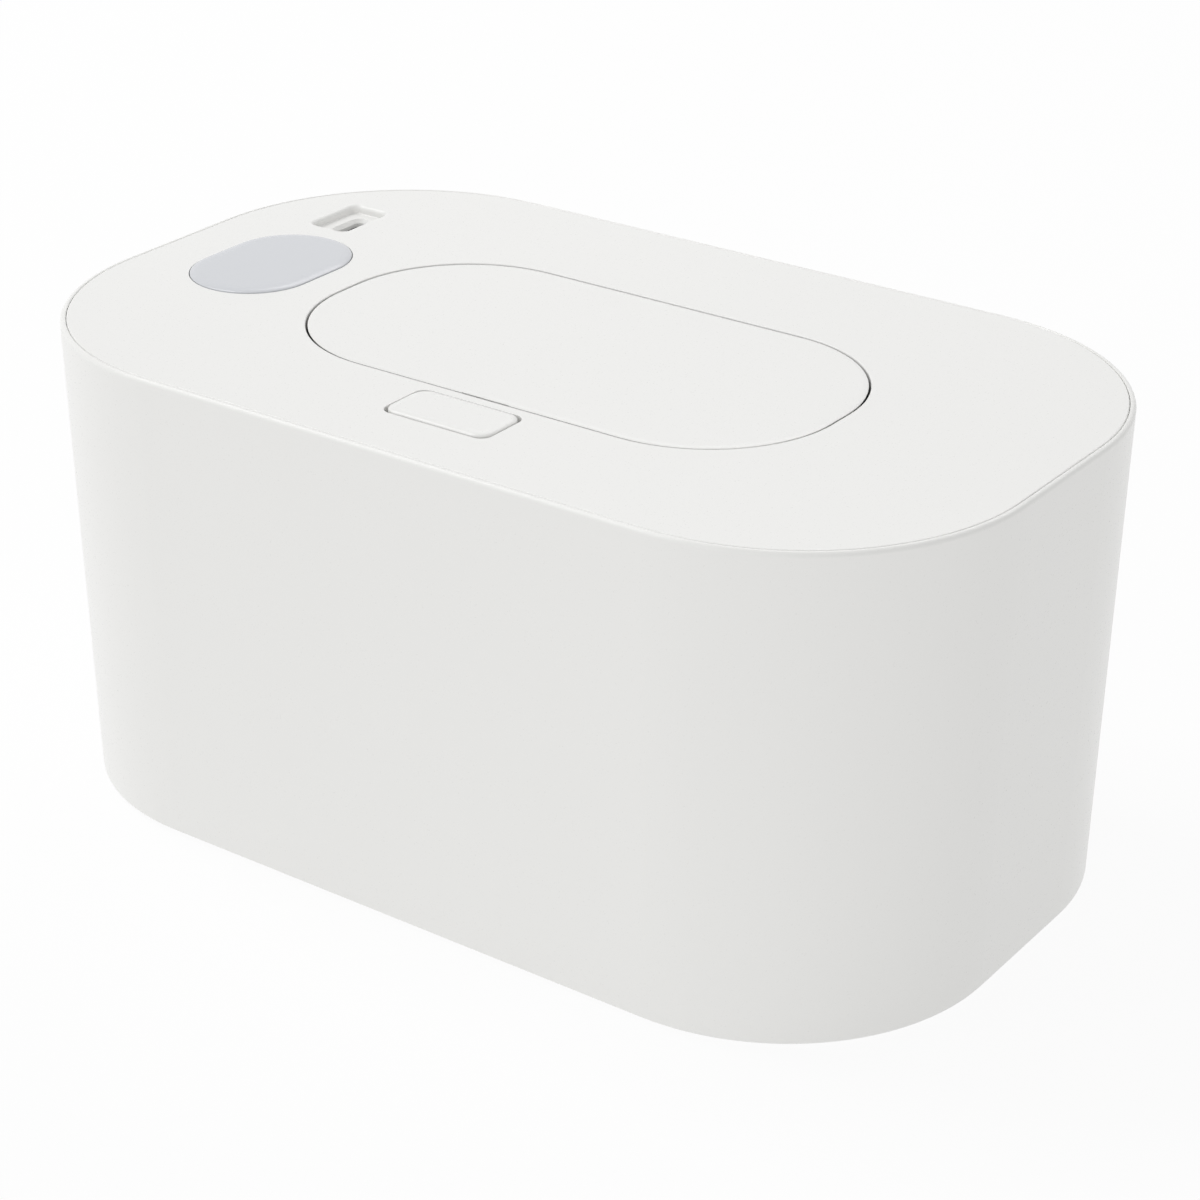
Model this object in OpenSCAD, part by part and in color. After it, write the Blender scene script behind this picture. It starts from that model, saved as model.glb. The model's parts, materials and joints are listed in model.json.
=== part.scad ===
// Warmer for baby wipes: a rounded tub with a lift-off cover, a pop-up flap and a touch display.
// Millimetres. The origin is the centre of the footprint, on the surface that the feet stand on.
// +X runs along the tub, the push button is on the -Y side, and +Z is up.
// Depths are counted down from the rim, insets inwards from the rim's outer edge.

/* [Body] */
// Length of the tub along its rim
body_l = 210; // [198:1:230]
// Width of the tub along its rim
body_w = 126; // [122:1:140]
// Height of the outer shell
body_h = 99; // [80:1:120]
// Corner radius of the rim, seen from above
body_r = 47.5; // [44:0.5:55]
// How far each side leans inwards from the rim to the lower edge
draft = 2; // [0.5:0.25:3]
// Wall of the outer shell
shell_wall = 2.5; // [2:0.1:3]
// Width of the rim that shows round the cover
rim_w = 1.15; // [1.1:0.05:1.6]
// Rounding of the rim's outer edge
rim_round = 0.9; // [0.4:0.05:0.9]
// Height that the feet hold the shell off the surface
foot_proud = 0.8; // [0.5:0.1:2]
// Radius of a foot
foot_r = 6; // [4:0.5:8]

/* [Tank] */
// Wall of the inner tank
tank_wall = 2; // [1.5:0.1:2.5]
// Foam between the tank and the shell
sleeve_t = 2; // [1:0.25:3]
// Play on each side of the foam
sleeve_gap = 0.4; // [0.3:0.1:1]
// Thickness of the flange that hangs the tank in the shell
flange_t = 2; // [1.5:0.1:3]
// Thickness of the base plate
base_t = 2.2; // [2:0.1:3]
// Height of the ribs that hold the wipes off the tank floor
rib_h = 1.5; // [1:0.25:3]

/* [Cover] */
// Seam between the rim and the cover
cover_gap = 0.1; // [0.1:0.05:0.6]
// Rounding of the cover's outer edge
cover_round = 0.3; // [0.3:0.1:1]
// Thickness of the cover's top
cover_t = 2.2; // [1.8:0.1:2.4]
// Depth at which the cover rests on the tank's flange
cover_seat = 5; // [4:0.25:7]
// Wall of the cover's skirts, well and pockets
cover_wall = 1.6; // [1.4:0.1:2]
// Width of the seal between the cover and the tank
gasket_w = 1.2; // [1:0.1:2]
// Thickness of the cover's lower plate
base_cover_t = 2; // [1.6:0.1:3]
// Thickness of the warming plate
heater_t = 1; // [0.8:0.1:2]

/* [Flap] */
// Length of the flap
flap_l = 115.6; // [100:0.2:122]
// Width of the flap
flap_w = 60.9; // [59:0.1:64]
// Corner radius of the flap
flap_r = 27.4; // [22:0.1:29]
// Thickness of the flap
flap_t = 2.2; // [1.8:0.1:2.4]
// Width of the soft upper edge round the flap
flap_soft = 1.6; // [0.3:0.1:2]
// Height of that edge
flap_drop = 0.2; // [0.15:0.05:0.5]
// Seam round the flap
flap_gap = 0.45; // [0.4:0.05:0.8]
// Middle of the flap, to the right of the tub's middle
flap_x = 1.35; // [-4:0.05:4]
// Distance of the flap's front edge from the tub's front
flap_front_in = 30.8; // [29:0.1:33]
// Depth of the well under the flap
well_depth = 15; // [14.8:0.1:18]
// Length of the raised throat that the wipes come through
throat_l = 62; // [54:1:70]
// Width of the raised throat
throat_w = 34; // [30:1:36]
// Length of the slot that lets one wipe through
slot_l = 44; // [30:1:48]
// Width of that slot
slot_w = 8; // [5:0.5:14]

/* [Hinge] */
// Distance of the hinge axis behind the flap's back edge
hinge_back = 6; // [5.8:0.1:6.2]
// Depth of the hinge axis
hinge_drop = 4.6; // [4.5:0.1:5]
// Distance of each hinge arm from the flap's middle
hinge_x = 22; // [18:0.5:26]
// Width of a hinge arm
arm_w = 4; // [3:0.25:5]
// Radius of a hinge pin
pin_r = 1; // [0.8:0.05:1.1]
// Play between a hinge pin and its bore
pin_play = 0.05; // [0.03:0.01:0.1]

/* [Button] */
// Length of the push button's pocket
pocket_l = 24.3; // [22:0.1:27]
// Width of the push button's pocket
pocket_w = 12.9; // [11.6:0.1:14]
// Corner radius of the pocket
pocket_r = 2.4; // [1.5:0.1:4]
// Seam round the push button
button_gap = 0.35; // [0.35:0.05:0.7]
// Corner radius of the push button
button_r = 3; // [2.8:0.1:4]
// Height of the push button above the cover
button_proud = 0.4; // [0.1:0.05:0.8]
// Width of the push button's soft upper edge
button_soft = 1.5; // [0.4:0.1:1.6]
// Height of that edge
button_drop = 0.55; // [0.3:0.05:0.8]
// Travel of the push button
button_travel = 1.8; // [1.4:0.1:1.8]
// Strip of cover between the flap's seam and the pocket
button_strip = 2.45; // [2:0.05:3]
// Middle of the button, to the right of the tub's middle
button_x = 0.9; // [-3:0.1:4]
// Middle of the latch, to the right of the tub's middle
latch_x = 1.2; // [-2:0.1:3]
// Width of the slot that the latch passes through
latch_slot = 11; // [9:0.25:11.5]

/* [Display] */
// Length of the touch window, across the tub
window_l = 37; // [30:0.2:40]
// Width of the touch window
window_w = 26.2; // [22:0.2:28]
// Thickness of the touch window
window_t = 1.8; // [1.2:0.1:1.9]
// Height of the touch window above the cover
window_proud = 0.5; // [0:0.05:0.5]
// Width of the soft upper edge round the touch window
window_soft = 2.4; // [0.5:0.1:4]
// Height of that edge
window_drop = 0.45; // [0.2:0.05:0.5]
// Seam round the touch window
window_seam = 0.2; // [0.15:0.05:0.5]
// Middle of the window from the tub's left end
window_end = 26.7; // [24.5:0.1:28]
// Middle of the window, behind the tub's middle
window_y = -0.6; // [-3:0.1:3]
// Thickness of the circuit board
board_t = 1.6; // [1:0.1:2]
// Depth of the circuit board's upper face
board_depth = 8.2; // [7.6:0.1:9]

/* [Port] */
// Length of the hollow round the power socket, across the tub
port_l = 14.6; // [13:0.2:17]
// Width of that hollow
port_w = 9.2; // [8:0.2:11]
// Corner radius of that hollow
port_r = 1.7; // [1.2:0.1:3]
// Depth of that hollow
port_depth = 1.8; // [1.2:0.1:2]
// Middle of the hollow from the tub's left end
port_end = 21.3; // [20:0.1:24]
// Middle of the hollow from the tub's back
port_back = 32; // [31:0.1:38]
// Rounding of that hollow's upper edge
port_round = 1.1; // [0.4:0.1:1.1]
// Distance of the power socket behind the hollow's middle
socket_back = 0.3; // [0:0.1:1]
// Length of the power socket's mouth
socket_l = 9; // [8.4:0.1:9.5]
// Width of the power socket's mouth
socket_w = 3.2; // [2.8:0.1:3.6]

/* [Hidden] */
$fn = 96;

// Clearances and small sizes that several pieces share
eps = 0.01;
play = 0.1;
seat_gap = 0.3;
edge = 0.3;
thread_play = 0.05;
arc_steps = 6;
foot_round = 0.4;
foot_t = base_t - 1;

// Heights
top_z = foot_proud + body_h;
seat_z = top_z - cover_seat - flange_t;
lip_z = foot_proud + base_t;
lip_t = 1.6;
lip_top = lip_z + lip_t;
tank_z = lip_top + 1.4;
tank_floor_t = 2;
tank_floor = tank_z + tank_floor_t;

// Insets from the rim's outer edge at rim height
tank_out = shell_wall + sleeve_t + 2 * sleeve_gap;
tank_in = tank_out + tank_wall;
shelf_in = tank_out - seat_gap;
shelf_t = 3;
lip_in = draft + shell_wall + 3;
base_in = draft + shell_wall + seat_gap;
cover_in = rim_w + cover_gap;
flange_in = rim_w + 0.3;
gasket_top = 8;
gasket_h = 3;
skirt_in = tank_in + draft * gasket_top / body_h + seat_gap + gasket_w;
bay_in = skirt_in + cover_wall;

// The cover's depths
floor_t = 2;
skirt_depth = well_depth + floor_t;
film_depth = skirt_depth + base_cover_t;
film_t = 0.4;
plate_depth = film_depth + film_t;
under_depth = plate_depth + heater_t;

// The flap, its well and its hinge
flap_front = flap_front_in - body_w / 2;
flap_y = flap_front + flap_w / 2;
flap_chamfer_w = 1;
flap_chamfer_h = flap_t - flap_drop - play;
hinge_y = flap_y + flap_w / 2 + hinge_back;
hinge_z = top_z - hinge_drop;
hub_r = hinge_drop - cover_t - seat_gap;
bow_r = hinge_back + 1.5;
bow_t = 2.2;
bar_t = 2;
bow_end = 159;
arm_xs = [flap_x - hinge_x, flap_x + hinge_x];
slot_play = 0.4;
coil_r = 1.9;
coil_wire = 0.3;
coil_turns = 4.75;
coil_pitch = 1.05;
coil_x = arm_xs[1] + arm_w / 2 + 0.75;
spring_room = 6;
hinge_pocket_back = hub_r + 0.5;
insert_t = 1.6;
throat_wall = 1.6;
insert_depth = 5.5;
insert_skirt = 3;
throat_depth = insert_depth + insert_t;
passage_l = throat_l - 2 * throat_wall;
passage_w = throat_w - 2 * throat_wall;
throat_y = flap_y;
seal_w = 2;
notch_top = 0.1;
notch_in = 0.9;

// The push button and the latch
well_front = flap_front - flap_gap;
button_y = well_front - button_strip - pocket_w / 2;
button_l = pocket_l - 2 * button_gap;
button_w = pocket_w - 2 * button_gap;
button_cap = 1.8;
front_y = button_y - pocket_w / 2;
frame_t = 1.4;
skirt_foot = 7.5;
skirt_step = 0.5;
skirt_t = 1.2;
stop_t = 1.2;
stop_w = 4;
stop_reach = 1.4;
frame_floor = skirt_foot + button_travel + 0.5;
slide_top = 4.4;
slide_t = 1.8;
slide_z = slide_top + slide_t;
slide_w = latch_slot - 0.6;
slide_gap = 0.4;
tab_y = flap_front + 0.6;
tab_t = 1.6;
tab_foot = 8;
tab_side = 3;
nose_y = tab_y + button_travel - slide_gap;
blade_w = 5.2;
blade_top = 1.2;
blade_foot = 6;
blade_front = button_y - 4.4;
blade_back = button_y + 0.4;
ramp = blade_front - 3.4;
ramp_play = 0.06;
slot_back = blade_back + button_travel + slide_gap;
latch_play = 0.1;
spring_axis = 10.2;
latch_spring_r = 1.5;
leg_y = slot_back + 1;
leg_t = 1;
leg_w = 6;
wall_w = 8;
floor_hole = 12.2;
button_spring_x = 8;
button_spring_r = 1.6;
spring_wire = 0.25;
spring_play = 0.05;

// The display bay
window_x = -body_l / 2 + window_end;
port_x = -body_l / 2 + port_end;
port_y = body_w / 2 - port_back;
socket_y = port_y + socket_back;
mouth_w = 0.7;
mouth_h = 0.8;
port_fillet = 0.3;
pocket_edge = 0.15;
socket_shell = 0.3;
socket_base = 1;
tongue_l = 6.6;
tongue_t = 0.7;
ledge_w = 2.5;
ledge_t = 1.4;
glue_t = 0.2;
glue_top = window_t - window_proud;
glue_z = glue_top + glue_t;
board_under = board_depth + board_t;
board_x0 = -body_l / 2 + bay_in;
board_x1 = flap_x - flap_l / 2 - flap_gap - cover_wall - 2;
board_y0 = window_y - 33.5;
board_y1 = port_y + 6.5;
touch_y = window_l / 2 - ledge_w - 3.5;
chips_above = [[[2, 29], [6, 6, 1.2]], [[2, 22.5], [5, 4, 1.6]]];
chips_below = [[[-3, -23.5], [5, 4.4, 1.2]], [[-10, 1], [6, 6, 3]]];
capacitors = [[9, 5], [9, 13]];
capacitor = [3, 5];
display_l = 18;
display_w = 14;
display_gap = 2.9;

// Screws: shank, head and where they stand
screw_r = 1.4;
head_r = 3;
boss_r = 3.4;
base_sunk = 0.2;
base_screw_l = 8.2;
tank_boss_h = base_screw_l + 0.8;
rib_w = 2;
rib_end = 26;
rib_xs = [for (i = [-3:3]) i * (body_l / 2 - 15) / 4.5];
base_screw_xs = [-body_l / 2 + 38, body_l / 2 - 38];
base_screw_ys = [-body_w / 2 + 22, body_w / 2 - 22];
foot_xs = [-body_l / 2 + 27, body_l / 2 - 27];
foot_ys = [-body_w / 2 + 33, body_w / 2 - 33];
side_x = body_l / 2 - 55;
side_y = (body_w / 2 - bay_in + flap_w / 2) / 2 + 2.6;
cover_posts = [
  [-body_l / 2 + 17, -20], [-side_x, -side_y], [side_x, -side_y],
  [body_l / 2 - 16, 0], [side_x, side_y], [-side_x, side_y]
];
cover_screw_r = 1.2;
cover_head_r = 2.4;
cover_screw_l = 9;
board_post_x = board_x1 - 5.65;
board_posts = [
  [board_post_x, window_y - 26.5], [window_x - 2, window_y - 27], [board_post_x, window_y + 27]
];
board_screw_r = 0.9;
board_boss_r = 2.6;
board_screw_l = 5;
board_head = [1.8, 1];
heater_l = body_l - 44;
heater_w = body_w - 34;
heater_r = body_r - 17;
heater_posts = [
  for (x = [-1, 1], y = [-1, 1]) [x * (heater_l / 2 - 13), y * (heater_w / 2 - 20)]
];
heater_screw_r = 1;
heater_screw_l = 4;
heater_boss_h = 3;
heater_head = [1.6, 2.1, 0.9];
film_in = 2;
thermistor_at = [window_x - 4, 22];
thermistor_size = [3, 2.4, 1.5];
thermistor_hole = [5, 4];
fuse_at = [window_x + 6, -18];
fuse_l = 8;
fuse_r = 1.1;
fuse_hole = [fuse_l + 2, 4];
lead_hole_at = [window_x - 2, -12];
lead_hole_r = 2.4;
lead_xs = [-1, 1];
heater_lead_r = 0.6;
sensor_lead_r = 0.4;
connector_at = [window_x + 2, -8];
sensor_plug_at = [window_x - 6, 12];
plug_size = [7, 4, 4];
plug_pitch = 2.5;
plug_z = top_z - board_under - plug_size[2];

// Colours
white = [0.93, 0.93, 0.92];
inner_white = [0.90, 0.90, 0.89];
window_grey = [0.84, 0.85, 0.87];
silicone_grey = [0.78, 0.79, 0.80];
metal = [0.72, 0.73, 0.74];
foam_grey = [0.55, 0.56, 0.58];
film_orange = [0.80, 0.48, 0.16];
board_green = [0.10, 0.36, 0.24];
dark = [0.12, 0.12, 0.13];
rubber = [0.30, 0.31, 0.32];

// How much further in the leaning sides are at height z than at the rim
function lean(z) = draft * (top_z - z) / body_h;

// Rounded rectangle, centred
module rrect(l, w, r) {
  square([l, w - 2 * r], center = true);
  square([l - 2 * r, w], center = true);
  for (x = [-1, 1], y = [-1, 1])
    translate([x * (l / 2 - r), y * (w / 2 - r)]) circle(r);
}

// Stadium, centred, long way along X
module stadium(l, w) {
  square([l - w, w], center = true);
  for (x = [-1, 1]) translate([x * (l - w) / 2, 0]) circle(w / 2);
}

// Sweeps a profile round a rounded rectangle: x is the offset outwards, y is the height
module ring(l, w, r) {
  for (sx = [0, 1], sy = [0, 1])
    mirror([sx, 0, 0]) mirror([0, sy, 0]) translate([l / 2 - r, w / 2 - r, 0])
      rotate_extrude(angle = 90) translate([r, 0]) children();
  for (s = [0, 1])
    mirror([0, s, 0]) translate([r - l / 2, w / 2, 0]) rotate([90, 0, 90])
      linear_extrude(l - 2 * r) children();
  for (s = [0, 1])
    mirror([s, 0, 0]) translate([l / 2, w / 2 - r, 0]) rotate([90, 0, 0])
      linear_extrude(w - 2 * r) children();
}

// The same sweep round the tub's rim
module rim() {
  ring(body_l, body_w, body_r) children();
}

// Slab over the tub's outline, drawn inwards, from height z0 to z1
module slab(inset, z0, z1) {
  translate([0, 0, z0]) linear_extrude(z1 - z0)
    rrect(body_l - 2 * inset, body_w - 2 * inset, body_r - inset);
}

// The flap's outline, drawn outwards by g
module flap_outline(g) {
  translate([flap_x, flap_y]) rrect(flap_l + 2 * g, flap_w + 2 * g, flap_r + g);
}

// The throat's outline, drawn outwards by g
module throat_outline(g) {
  translate([flap_x, throat_y]) stadium(throat_l + 2 * g, throat_w + 2 * g);
}

// The touch window's outline, drawn outwards by g
module window_outline(g) {
  translate([window_x, window_y]) rotate([0, 0, 90]) stadium(window_l + 2 * g, window_w + 2 * g);
}

// Prism over a flat outline between two depths below the rim, d1 the deeper one
module between(d1, d0) {
  translate([0, 0, top_z - d1]) linear_extrude(d1 - d0) children();
}

// Points of a rounded upper edge whose outer end is at x on a profile, width wide and drop high
function edge_arc(x, width, drop) = [
  for (i = [0:arc_steps])
    let (a = 90 * i / arc_steps)
      [x + width * (cos(a) - 1), drop * (sin(a) - 1)]
];

// The same points in the other order
function backwards(points) = [for (i = [len(points) - 1:-1:0]) points[i]];

// Slab over a rounded rectangle with a soft upper edge, its top at z = 0; foot is the size of the
// bevel under its edge
module lid_slab(l, w, r, t, width, drop, foot = [0, 0]) {
  lower = foot[0] > 0 ? [[-foot[0], -t], [0, foot[1] - t]] : [[0, -t]];
  core = max(width, foot[0]) + 0.5;
  ring(l, w, r)
    polygon(concat([[-core - 0.5, -t]], lower, edge_arc(0, width, drop), [[-core - 0.5, 0]]));
  translate([0, 0, -t]) linear_extrude(t) rrect(l - 2 * core, w - 2 * core, r - core);
}

// Cutter that rounds the upper edge of an opening, the plate's top at z = 0
module mouth(l, w, r, round) {
  ring(l, w, r) polygon(concat(
    [[-round, -round]], [for (q = edge_arc(0, round, round)) [-q[0], q[1]]],
    [[round, 1], [-round, 1]]
  ));
}

// Slab over a stadium with a soft upper edge, its top at z = 0
module stadium_slab(l, w, t, width, drop) {
  half = concat([[0, -t], [w / 2, -t]], edge_arc(w / 2, width, drop), [[0, 0]]);
  for (s = [-1, 1]) translate([s * (l - w) / 2, 0, 0]) rotate_extrude() polygon(half);
  for (s = [0, 1]) mirror([0, s, 0]) translate([(w - l) / 2, 0, 0]) rotate([90, 0, 90])
    linear_extrude(l - w) polygon(half);
}

// Countersunk screw pointing up, the head's face at z = 0, with a cross recess
module screw(r, head, length) {
  sink = head - r;
  difference() {
    union() {
      cylinder(r = r, h = length);
      cylinder(r1 = head, r2 = r, h = sink);
    }
    for (a = [0, 90]) rotate([0, 0, a])
      cube([head * 1.1, head * 0.2, sink], center = true);
  }
}

// Hole for that screw, with its sunk head and a recess that the head lies in
module screw_hole(r, head, length, sunk) {
  translate([0, 0, -eps]) cylinder(r = head + play, h = sunk + 2 * eps);
  translate([0, 0, sunk]) {
    cylinder(r = r + thread_play, h = length + 0.4);
    cylinder(r1 = head + play, r2 = r + thread_play, h = head - r + play / 2);
  }
}

// Helix points round the Z axis
function coil(r, h, turns, steps = 8) = [
  for (i = [0:turns * steps])
    [r * cos(360 * i / steps), r * sin(360 * i / steps), h * i / (turns * steps)]
];

// Least gap of a coil's wire to itself, from points at least half a turn apart
function coil_gap(p, wire_r, steps = 8) = min([
  for (i = [0:len(p) - 1], j = [i + steps / 2:1:min(len(p) - 1, i + 2 * steps)]) norm(p[i] - p[j])
]) - 2 * wire_r;

function unit(v) = v / norm(v);

// Round tube along points; ref is a direction that the path never runs along
module tube(p, r, ref, sides = 6) {
  n = len(p);
  ring_points = [
    for (i = [0:n - 1])
      let (
        t = unit(p[min(n - 1, i + 1)] - p[max(0, i - 1)]),
        a = unit(cross(t, ref)),
        b = cross(t, a)
      )
      for (k = [0:sides - 1])
        p[i] + r * (cos(360 * k / sides) * a + sin(360 * k / sides) * b)
  ];
  walls = [
    for (i = [0:n - 2], k = [0:sides - 1])
      let (k1 = (k + 1) % sides, m = i * sides)
      for (f = [[m + k, m + k1, m + sides + k1], [m + k, m + sides + k1, m + sides + k]]) f
  ];
  caps = [
    for (k = [1:sides - 2])
      for (f = [[0, k + 1, k], [(n - 1) * sides, (n - 1) * sides + k, (n - 1) * sides + k + 1]]) f
  ];
  polyhedron(ring_points, concat(walls, caps));
}

// Compression spring standing on z = 0
module spring(r, wire_r, h, turns) {
  p = coil(r, h - 2 * wire_r, turns);
  echo(spring_gap = coil_gap(p, wire_r));
  translate([0, 0, wire_r]) tube(p, wire_r, [0, 0, 1]);
}

// Outer shell: leaning wall, rounded rim, shelf for the tank and lip for the base plate
module outer_shell() {
  wall_foot = seat_z - shelf_t - (shelf_in - shell_wall);
  rim_edge = 0.15;
  color(white) rim() polygon(concat(
    [for (q = backwards(edge_arc(-draft, foot_round, foot_round))) [q[0], foot_proud - q[1]]],
    [for (q = edge_arc(0, rim_round, rim_round)) [q[0], top_z + q[1]]],
    [
      [rim_edge - rim_w, top_z], [-rim_w, top_z - rim_edge], [-rim_w, seat_z],
      [-shelf_in, seat_z], [-shelf_in, seat_z - shelf_t],
      [-shell_wall - lean(wall_foot), wall_foot],
      [-shell_wall - lean(lip_top), lip_top], [-lip_in, lip_top], [-lip_in, lip_z],
      [-draft - shell_wall, lip_z], [-draft - shell_wall, foot_proud]
    ]
  ));
}

// Base plate: closes the shell from below and holds the feet
module base_plate() {
  color(white) difference() {
    slab(base_in, foot_proud, lip_z);
    for (x = foot_xs, y = foot_ys) translate([x, y, foot_proud - eps])
      cylinder(r = foot_r + play, h = foot_t + eps);
    for (x = base_screw_xs, y = base_screw_ys) translate([x, y, foot_proud])
      screw_hole(screw_r, head_r, base_t, base_sunk);
  }
}

// Four feet glued into the base plate
module rubber_feet() {
  color(rubber) for (x = foot_xs, y = foot_ys) translate([x, y, 0])
    rotate_extrude() polygon([
      [0, 0], [foot_r - foot_round, 0], [foot_r, foot_round],
      [foot_r, foot_proud + foot_t], [0, foot_proud + foot_t]
    ]);
}

// Screws through the base plate into the tank's bosses
module base_screws() {
  color(metal) for (x = base_screw_xs, y = base_screw_ys)
    translate([x, y, foot_proud + base_sunk]) screw(screw_r, head_r, base_screw_l);
}

// Foam sleeve between the tank and the shell
module insulation_sleeve() {
  outer = shell_wall + sleeve_gap;
  inner = outer + sleeve_t;
  sleeve_top = seat_z - shelf_t - (shelf_in - shell_wall) - 1;
  color(foam_grey) rim() polygon([
    [-outer - lean(lip_top), lip_top], [-outer - lean(sleeve_top), sleeve_top],
    [-inner - lean(sleeve_top), sleeve_top], [-inner - lean(lip_top), lip_top]
  ]);
}

// Inner tank: hangs in the shell by its flange and holds the stack of wipes
module inner_tank() {
  color(inner_white) difference() {
    union() {
      rim() polygon([
        [-flange_in, seat_z], [-flange_in, seat_z + flange_t],
        [-tank_in - lean(seat_z), seat_z + flange_t],
        [-tank_in - lean(tank_z), tank_z], [-tank_out - lean(tank_z), tank_z],
        [-tank_out - lean(seat_z), seat_z]
      ]);
      slab(tank_out + lean(tank_z) + tank_wall / 2, tank_z, tank_floor);
      for (x = rib_xs)
        translate([x - rib_w / 2, rib_end - body_w / 2, tank_floor - eps])
          cube([rib_w, body_w - 2 * rib_end, rib_h]);
      for (x = base_screw_xs, y = base_screw_ys)
        translate([x, y, lip_z]) cylinder(r = boss_r, h = tank_boss_h);
    }
    for (x = base_screw_xs, y = base_screw_ys)
      translate([x, y, lip_z - eps])
        cylinder(r = screw_r + thread_play, h = base_screw_l - base_t + 1);
  }
}

// Silicone ring on the cover's skirt
module cover_gasket() {
  color(silicone_grey) rim() polygon([
    [-skirt_in, top_z - gasket_top - gasket_h], [-skirt_in, top_z - gasket_top],
    [-skirt_in + gasket_w / 2, top_z - gasket_top],
    [-skirt_in + gasket_w, top_z - gasket_top - 1],
    [-skirt_in + gasket_w, top_z - gasket_top - 2],
    [-skirt_in + gasket_w / 2, top_z - gasket_top - gasket_h]
  ]);
}

// First and last X of the space in each hinge pocket
function pocket_span(i) = [
  arm_xs[i] - arm_w / 2 - slot_play,
  arm_xs[i] + arm_w / 2 + slot_play + (i == 1 ? spring_room : 0)
];

// Box between two X, two Y and two depths
module box(x0, x1, y0, y1, d1, d0) {
  translate([x0, y0, top_z - d1]) cube([x1 - x0, y1 - y0, d1 - d0]);
}

// Cover plate with its edge skirt and the deeper skirt inside the tank
module cover_plate() {
  l = body_l - 2 * cover_in;
  w = body_w - 2 * cover_in;
  r = body_r - cover_in;
  translate([0, 0, top_z]) {
    lid_slab(l, w, r, cover_t, cover_round, cover_round);
    ring(l, w, r) polygon([
      [-cover_wall, -cover_t + edge], [-cover_wall, -cover_seat], [0, -cover_seat],
      [0, -cover_t + edge]
    ]);
    rim() polygon([
      [-skirt_in, -skirt_depth], [-skirt_in, -cover_t + eps],
      [-bay_in, -cover_t + eps], [-bay_in, -skirt_depth]
    ]);
  }
}

// Everything that hangs from the cover plate, before it is hollowed
module cover_solids() {
  between(skirt_depth, cover_t - eps) flap_outline(flap_gap + cover_wall);
  for (i = [0, 1])
    box(pocket_span(i)[0] - cover_wall, pocket_span(i)[1] + cover_wall,
      hinge_y - hinge_back, hinge_y + hinge_pocket_back + cover_wall, skirt_depth, cover_t - eps);
  between(frame_floor + frame_t, cover_t - eps) translate([button_x, button_y])
    rrect(pocket_l + 2 * frame_t, pocket_w + 2 * frame_t, pocket_r + frame_t);
  box(latch_x - wall_w / 2, latch_x + wall_w / 2, front_y - frame_t, front_y,
    spring_axis + latch_spring_r + 0.9, frame_floor);
  between(cover_t + ledge_t, cover_t - eps) window_outline(cover_wall);
  between(port_depth + cover_wall, cover_t - eps) translate([port_x, port_y])
    rrect(port_w + 2 * cover_wall, port_l + 2 * cover_wall, port_r + cover_wall);
  between(skirt_depth, cover_t - eps) for (p = cover_posts) translate(p) circle(boss_r);
  between(board_depth, cover_t - eps) for (p = board_posts) translate(p) circle(board_boss_r);
}

// The window's recess and the hole behind it
module window_cut() {
  between(glue_z, -eps) window_outline(window_seam);
  between(cover_t + ledge_t + eps, 0) window_outline(-ledge_w);
}

// The hollow round the power socket, with soft edges and a rounded foot, and the slot to the
// socket, whose mouth widens upwards
module port_cut() {
  foot = [for (q = edge_arc(0, port_fillet, port_fillet)) [q[0], -port_depth - q[1]]];
  slot_l = socket_l - 2 * socket_shell;
  slot_w = socket_w - 2 * socket_shell;
  straight = (slot_l - slot_w) / 2;
  funnel = [
    [0, -mouth_h], [slot_w / 2, -mouth_h], [slot_w / 2 + mouth_w, 0], [slot_w / 2 + mouth_w, eps],
    [0, eps]
  ];
  between(port_depth, -eps) translate([port_x, port_y])
    rrect(port_w - 2 * port_fillet, port_l - 2 * port_fillet, port_r - port_fillet);
  translate([port_x, port_y, top_z]) {
    mouth(port_w, port_l, port_r, port_round);
    ring(port_w, port_l, port_r) polygon(concat(
      foot, [[-port_fillet - eps, -port_depth], [-port_fillet - eps, 0], [0, 0]]
    ));
  }
  between(port_depth + cover_wall + eps, 0) translate([port_x, socket_y])
    rotate([0, 0, 90]) stadium(slot_l, slot_w);
  translate([port_x, socket_y, top_z - port_depth]) rotate([0, 0, 90]) {
    for (s = [-1, 1]) translate([s * straight, 0, 0]) rotate_extrude() polygon(funnel);
    for (s = [0, 1]) mirror([0, s, 0]) translate([-straight, 0, 0]) rotate([90, 0, 90])
      linear_extrude(2 * straight) polygon(funnel);
  }
}

// The push button's pocket, its stops and the latch's ways through the walls
module button_cut() {
  between(frame_floor, -eps) translate([button_x, button_y])
    rrect(pocket_l, pocket_w, pocket_r);
  translate([button_x, button_y, top_z]) mouth(pocket_l, pocket_w, pocket_r, pocket_edge);
  box(latch_x - floor_hole / 2, latch_x + floor_hole / 2, front_y + eps, front_y + pocket_w - eps,
    frame_floor + frame_t + eps, frame_floor - 1);
  box(button_x - pocket_l / 2 - frame_t - eps, button_x + pocket_l / 2 + frame_t + eps,
    button_y - stop_w / 2 - seat_gap, button_y + stop_w / 2 + seat_gap,
    frame_floor, skirt_foot - stop_t - play);
  box(latch_x - slide_w / 2 - latch_play, latch_x + slide_w / 2 + latch_play,
    front_y - frame_t - eps, front_y + eps, slide_z + latch_play, slide_top - latch_play);
  box(latch_x - latch_slot / 2, latch_x + latch_slot / 2,
    front_y + pocket_w - eps, well_front + eps, slide_z + seat_gap, slide_top - seat_gap);
}

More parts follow.
